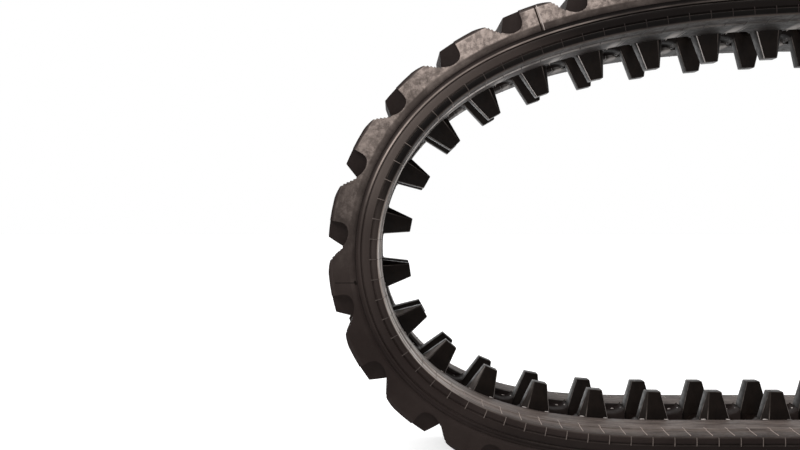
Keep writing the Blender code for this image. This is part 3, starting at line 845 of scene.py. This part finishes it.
def inner_look():
    """Dust on the faces that look up, laid on also to paint the light from above; painted
    highlights along the corner and ridge of the side wall and on the crease's edge; chalky
    streaks on the shoulder of the left end, partly painting the light there; painted glints
    beside the horns; and painted shade in dark bands. level tells the roller path, the shoulder
    and the bands of the wall apart, and step the stretch beside each horn."""
    n, tone, fine = rubber("inner_rubber_look", 0.54, 0.06)
    level = n.attribute("level")
    step = n.attribute("step")
    high = n.ramp(n.height, 0.17, 0.24)
    not_high = n.ramp(n.height, 0.24, 0.18, 0.12, 1.0)
    on_wall = n.ramp(n.side, 0.1128, 0.1137)
    above_wall = n.ramp(level, 0.0146, 0.0150)

    # Painted shade, darker than the rubber itself: under the upper run, along the wall's upper
    # band on the higher half, and on the rest of the wall near the ground.
    tone = n.mix(n.ramp(n.height, 0.310, 0.335, 0.0, 0.8), tone, SHADE_RUBBER)
    painted_shade_band = n.all_of(n.ramp(level, 0.0097, 0.0104), n.ramp(level, 0.0150, 0.0142), on_wall, high)
    shade = n.all_of(on_wall, n.ramp(level, 0.0104, 0.0094),
                     n.ramp(n.height, 0.060, 0.030, 0.0, 0.4))
    tone = n.mix(n.math("MAXIMUM", shade, n.math("MULTIPLY", painted_shade_band, 0.9)), tone, SHADE_RUBBER)

    # Dust, with painted light: more on the faces that look up to paint the light from above,
    # painted highlights along the wall's corner and ridge, and a painted sheen on the shoulder
    # of the left end.
    # dust on the faces that look up, laid on also to paint the light from above
    upward_dust_and_light = n.all_of(n.ramp(n.facing_up(), 0.45, 1.0), n.ramp(n.side, 0.0425, 0.0470),
                       n.ramp(n.noise(40, 6, 0.7, squeeze=(1, 4, 1)), 0.30, 0.66, 0.10, 0.36),
                       n.ramp(n.side, 0.1150, 0.0860, 0.34, 1.10))
    # painted highlight along the wall's rounded corner
    corner = n.all_of(n.ramp(level, 0.0139, 0.0146), n.ramp(level, 0.0157, 0.0151),
                      n.ramp(n.side, 0.1090, 0.1115), n.ramp(n.height, 0.06, 0.17), not_high,
                      n.ramp(n.noise(18, 3, 0.6), 0.35, 0.6, 0.45, 1.0))
    # painted sheen on the shoulder of the left end
    sheen = n.all_of(above_wall, n.ramp(n.side, 0.0700, 0.0860),
                     n.ramp(n.noise(120, 4, 0.6, squeeze=(0.25, 4, 0.25)),
                            0.38, 0.62, 0.06, 0.62),
                     n.ramp(n.height, 0.043, 0.080), not_high)
    lower_band = n.math("MULTIPLY", n.ramp(level, 0.0102, 0.0094), high)
    wall = n.all_of(n.ramp(n.side, 0.1128, 0.1140), n.ramp(n.height, 0.06, 0.22, 0.0, 0.045),
                    n.ramp(lower_band, 0.0, 1.0, 1.0, 3.2), n.ramp(painted_shade_band, 0.0, 1.0, 1.0, 0.0),
                    n.ramp(n.height, 0.335, 0.270))
    # painted highlight along the wall's ridge
    ridge = n.all_of(n.ramp(level, 0.0008, 0.0012), n.ramp(level, 0.0023, 0.0019),
                     n.ramp(n.side, 0.1125, 0.1137),
                     n.ramp(n.height, 0.20, 0.26), n.ramp(n.height, 0.345, 0.32, 0.25, 1.0),
                     n.ramp(n.noise(14, 3, 0.6), 0.40, 0.6, 0.3, 0.9))
    total = n.math("ADD", n.math("ADD", upward_dust_and_light, corner), n.math("ADD", ridge, sheen))
    dusted_and_lit = n.mix(n.math("MINIMUM", n.math("ADD", total, wall), 0.9), tone, DUST_AND_HIGHLIGHT)

    # Chalk and painted light: broken chalky streaks on the roller path and shoulder of the left
    # end, partly painting the light there, but for the crease between them, a painted highlight
    # on the crease's edge higher up, and painted glints beside the horns.
    crease = n.all_of(n.ramp(n.side, 0.0890, 0.0905), n.ramp(n.side, 0.0960, 0.0925))
    broken = n.ramp(n.noise(110, 4, 0.65, squeeze=(0.20, 1.2, 0.20)), 0.36, 0.60, 0.10, 0.95)
    streaks = n.all_of(n.ramp(crease, 0.0, 1.0, 1.0, 0.15), broken, above_wall,
                       n.ramp(n.side, 0.0430, 0.0640, 0.3, 1.0),
                       n.ramp(n.height, 0.052, 0.100), n.ramp(n.height, 0.23, 0.17))
    # painted highlight on the crease's edge, higher up
    edge = n.all_of(n.ramp(n.side, 0.0865, 0.0882), n.ramp(n.side, 0.0925, 0.0905), high,
                    n.ramp(n.height, 0.335, 0.280, 0.12, 1.0),
                    n.ramp(n.noise(60, 3, 0.6), 0.35, 0.6, 0.35, 0.85))
    # painted glints on the roller path beside the horns, on the upper run
    patch = n.all_of(n.ramp(step, 0.0085, 0.0135), n.ramp(step, 0.0215, 0.0165))
    path_glint = n.all_of(n.math("MAXIMUM", patch, n.ramp(n.height, 0.33, 0.27, 0.06, 0.35)),
                      n.ramp(n.side, 0.0880, 0.0500),
                      n.ramp(n.side, 0.0420, 0.0432, 0.12, 1.0),
                      n.ramp(level, 0.0138, 0.0150), n.ramp(n.height, 0.22, 0.29, 0.0, 0.50))
    chalk_and_highlight = n.math("MAXIMUM", n.math("MAXIMUM", streaks, edge), path_glint)
    n.link(n.mix(chalk_and_highlight, dusted_and_lit, CHALK_AND_HIGHLIGHT), n.shader.inputs["Base Color"])
    return n.material


def rib_look():
    """The vents' lines hold more dust on the higher half of the wall, less near the ground and
    at the wall's face, and none near the top of the loop."""
    n, tone, fine = rubber("vent_rib_look", 0.5, 0.15)
    cover = n.all_of(n.ramp(n.height, 0.31, 0.27, 0.0, 1.0), n.ramp(fine, 0.3, 0.6, 0.6, 1.0),
                     n.ramp(n.height, 0.17, 0.21, 1.0, 2.4),
                     n.ramp(n.side, 0.1138, 0.1110, 0.30, 0.90),
                     n.ramp(n.height, 0.050, 0.080, 1.0, 0.40))
    n.link(n.mix(cover, tone, DUST_AND_HIGHLIGHT), n.shader.inputs["Base Color"])
    return n.material


def flash_look():
    """Thin pressed-out rubber, shiny, with patchy painted glints and some dust on top."""
    n, tone, fine = rubber("flash_look", 0.22, 0.35)
    # painted glints: pale patches on the faces that look up
    cover = n.all_of(n.ramp(n.facing_up(), 0.0, 0.6),
                     n.ramp(n.noise(55, 2, 0.5), 0.42, 0.54, 0.15, 1.0))
    n.link(n.mix(cover, tone, FLASH_DUST_AND_GLINT), n.shader.inputs["Base Color"])
    return n.material


def steel_look():
    """Black forged steel. The marks on its faces tell where light is painted: a painted
    reflection on the facets of the lower left horns, painted highlights with some wear on all
    edges, and the brightest painted highlight on the outer trailing edge on the upper run. The
    horns share one mesh, so heights are the world's."""
    n = Nodes("core_look")
    tone = n.mix(n.ramp(n.noise(60, 5, 0.6), 0.35, 0.7), DARK_STEEL, LIGHT_STEEL)
    worn = n.attribute("worn")
    height = n.world_height()
    # painted reflection on the facets of the lower left horns
    facet = n.all_of(n.ramp(worn, 0.3, 0.45), n.ramp(worn, 0.65, 0.55),
                     n.ramp(height, 0.160, 0.115), n.ramp(height, 0.055, 0.085, 0.12, 1.0),
                     n.ramp(n.facing_up(), -0.15, 0.55),
                     n.ramp(n.noise(90, 4, 0.7, squeeze=(1, 1, 0.3)), 0.35, 0.65, 0.35, 1.0))
    tone = n.mix(facet, tone, FACET_REFLECTION)
    # painted highlights, with some wear, on all edges
    edges = n.all_of(n.ramp(worn, 0.65, 0.72),
                     n.ramp(n.noise(70, 3, 0.6), 0.35, 0.6, 0.10, 0.5))
    tone = n.mix(edges, tone, EDGE_WEAR_AND_HIGHLIGHT)
    # painted highlight on the outer trailing edge, brightest on the upper run
    bright = n.all_of(n.ramp(worn, 0.85, 0.95), n.ramp(height, 0.25, 0.29, 0.15, 1.0))
    n.link(n.mix(bright, tone, BRIGHT_EDGE), n.shader.inputs["Base Color"])
    n.link(n.ramp(n.noise(220, 4, 0.6), 0.3, 0.7, 0.28, 0.46), n.shader.inputs["Roughness"])
    n.shader.inputs["Specular IOR Level"].default_value = 0.05
    n.link(n.bump(n.noise(140, 4, 0.6, squeeze=(1, 1, 0.35)), 0.0003, 0.5),
           n.shader.inputs["Normal"])
    return n.material


def cord_look():
    """Brassed steel cords side by side."""
    n = Nodes("cord_look")
    wave = n.add("ShaderNodeTexWave", bands_direction="Y")
    wave.inputs["Scale"].default_value = 180.0
    n.link(n.place, wave.inputs["Vector"])
    n.link(n.mix(wave.outputs["Fac"], CORD_SHADE, CORD_LIGHT), n.shader.inputs["Base Color"])
    n.shader.inputs["Metallic"].default_value = 0.9
    n.shader.inputs["Roughness"].default_value = 0.4
    n.link(n.bump(wave.outputs["Fac"], 0.0006, 0.6), n.shader.inputs["Normal"])
    return n.material


def paint(obj, material):
    obj.data.materials.clear()
    obj.data.materials.append(material)


# The dressed part

tread_material = tread_look()
inner_material = inner_look()
rib_material = rib_look()
flash_material = flash_look()
steel_material = steel_look()
cord_material = cord_look()

tread = tread_rubber()
paint(tread, tread_material)
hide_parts("tread_rubber")
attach(tread, "root")

for side, far in (("near", False), ("far", True)):
    inner = inner_rubber(f"inner_{side}", far)
    paint(inner, inner_material)
    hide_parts(f"inner_rubber_{side}")
    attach(inner, "root")
    for extra, look in ((vent_ribs(f"vent_ribs_{side}", far), rib_material),
                        (flash(f"flash_{side}", far), flash_material)):
        paint(extra, look)
        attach(extra, "root")
    paint(frame["nodes"][f"cord_belt_{side}"], cord_material)

horns = core_mesh()
horns.materials.append(steel_material)
for link in range(LINKS):
    piece = placed(f"horns_{link + 1:02d}", horns)
    forward, up, origin = FORWARDS[link], UPS[link], ORIGINS[link]
    turned = Matrix(((forward[0], 0.0, up[0]), (0.0, -1.0, 0.0), (forward[1], 0.0, up[1])))
    piece.matrix_world = Matrix.Translation((origin[0], 0.0, origin[1])) @ turned.to_4x4()
    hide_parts(f"core_{link + 1:02d}")
    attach(piece, "root")


# Floor, light and camera

FLOOR_HALF = 14.0
FLOOR_LEVEL = -0.0004       # just under the track
FLOOR_COLOUR = (0.92, 0.92, 0.92, 1.0)
FLOOR_GLOW = (0.60, 1.0)    # under the track and far from it
GLOW_REACH = (0.7, 2.2)     # from the middle, to where the glow rises
AMBIENT = 0.24              # strength of the world's light
WHITE = (1, 1, 1, 1)

# Lamps: name, place, target, size, power.
LAMPS = (("overhead", (-0.5, -0.3, 2.0), (-0.2, 0.0, 0.1), (2.0, 1.4), 30),
         ("front_left", (-1.5, -1.3, 1.35), (-0.4, 0.0, 0.3), (0.8, 0.8), 25))

CAMERA_PLACE = (-0.5127, -1.058, 0.1950)
CAMERA_SHIFT = (0.0095, -0.0081)
CAMERA_LENS = 58.73
CAMERA_SENSOR = 36.0


def background_rays(tree):
    """1 for the rays that show the white background: from the camera, and by gloss or glass."""
    rays = tree.nodes.new("ShaderNodeLightPath")
    shown = rays.outputs["Is Camera Ray"]
    for kind in ("Is Glossy Ray", "Is Transmission Ray"):
        either = tree.nodes.new("ShaderNodeMath")
        either.operation = "MAXIMUM"
        tree.links.new(shown, either.inputs[0])
        tree.links.new(rays.outputs[kind], either.inputs[1])
        shown = either.outputs["Value"]
    return shown


def floor():
    mesh = bpy.data.meshes.new("floor")
    corners = ((-1, -1), (1, -1), (1, 1), (-1, 1))
    mesh.from_pydata([(FLOOR_HALF * x, FLOOR_HALF * y, FLOOR_LEVEL) for x, y in corners], [],
                     [(0, 1, 2, 3)])
    made = placed("floor", mesh)
    material = bpy.data.materials.new("floor_look")
    material.use_nodes = True
    tree = material.node_tree
    shader = tree.nodes["Principled BSDF"]
    shader.inputs["Base Color"].default_value = FLOOR_COLOUR
    shader.inputs["Roughness"].default_value = 0.9
    shader.inputs["Specular IOR Level"].default_value = 0.1
    glow = tree.nodes.new("ShaderNodeEmission")
    glow.inputs["Color"].default_value = WHITE
    place = tree.nodes.new("ShaderNodeTexCoord")
    length = tree.nodes.new("ShaderNodeVectorMath")
    length.operation = "LENGTH"
    tree.links.new(place.outputs["Object"], length.inputs[0])
    rise = tree.nodes.new("ShaderNodeMapRange")
    rise.inputs["From Min"].default_value, rise.inputs["From Max"].default_value = GLOW_REACH
    rise.inputs["To Min"].default_value, rise.inputs["To Max"].default_value = FLOOR_GLOW
    tree.links.new(length.outputs["Value"], rise.inputs["Value"])
    seen = tree.nodes.new("ShaderNodeMath")
    seen.operation = "MULTIPLY"
    tree.links.new(background_rays(tree), seen.inputs[0])
    tree.links.new(rise.outputs["Result"], seen.inputs[1])
    tree.links.new(seen.outputs[0], glow.inputs["Strength"])
    total = tree.nodes.new("ShaderNodeAddShader")
    tree.links.new(shader.outputs[0], total.inputs[0])
    tree.links.new(glow.outputs[0], total.inputs[1])
    tree.links.new(total.outputs[0], tree.nodes["Material Output"].inputs["Surface"])
    mesh.materials.append(material)


def world():
    made = bpy.data.worlds.new("studio")
    bpy.context.scene.world = made
    made.use_nodes = True
    tree = made.node_tree
    back = tree.nodes["Background"]
    back.inputs["Color"].default_value = WHITE
    strength = tree.nodes.new("ShaderNodeMapRange")
    strength.inputs["To Min"].default_value = AMBIENT
    strength.inputs["To Max"].default_value = 1.0
    tree.links.new(background_rays(tree), strength.inputs["Value"])
    tree.links.new(strength.outputs["Result"], back.inputs["Strength"])


def lamp(name, place, target, size, power):
    light = bpy.data.lights.new(name, "AREA")
    light.shape = "RECTANGLE"
    light.size, light.size_y = size
    light.energy = power
    made = placed(name, light)
    made.location = place
    made.rotation_euler = (Vector(place) - Vector(target)).to_track_quat("Z", "Y").to_euler()


floor()
world()
for settings in LAMPS:
    lamp(*settings)

camera_data = bpy.data.cameras.new("camera")
camera_data.lens = CAMERA_LENS
camera_data.sensor_width = CAMERA_SENSOR
camera_data.shift_x, camera_data.shift_y = CAMERA_SHIFT
camera_data.dof.use_dof = False
camera_data.clip_start = 0.01
camera = placed("camera", camera_data)
camera.location = CAMERA_PLACE
camera.rotation_euler = (math.pi / 2, 0.0, 0.0)
bpy.context.scene.camera = camera

bpy.context.scene.view_settings.view_transform = "Standard"
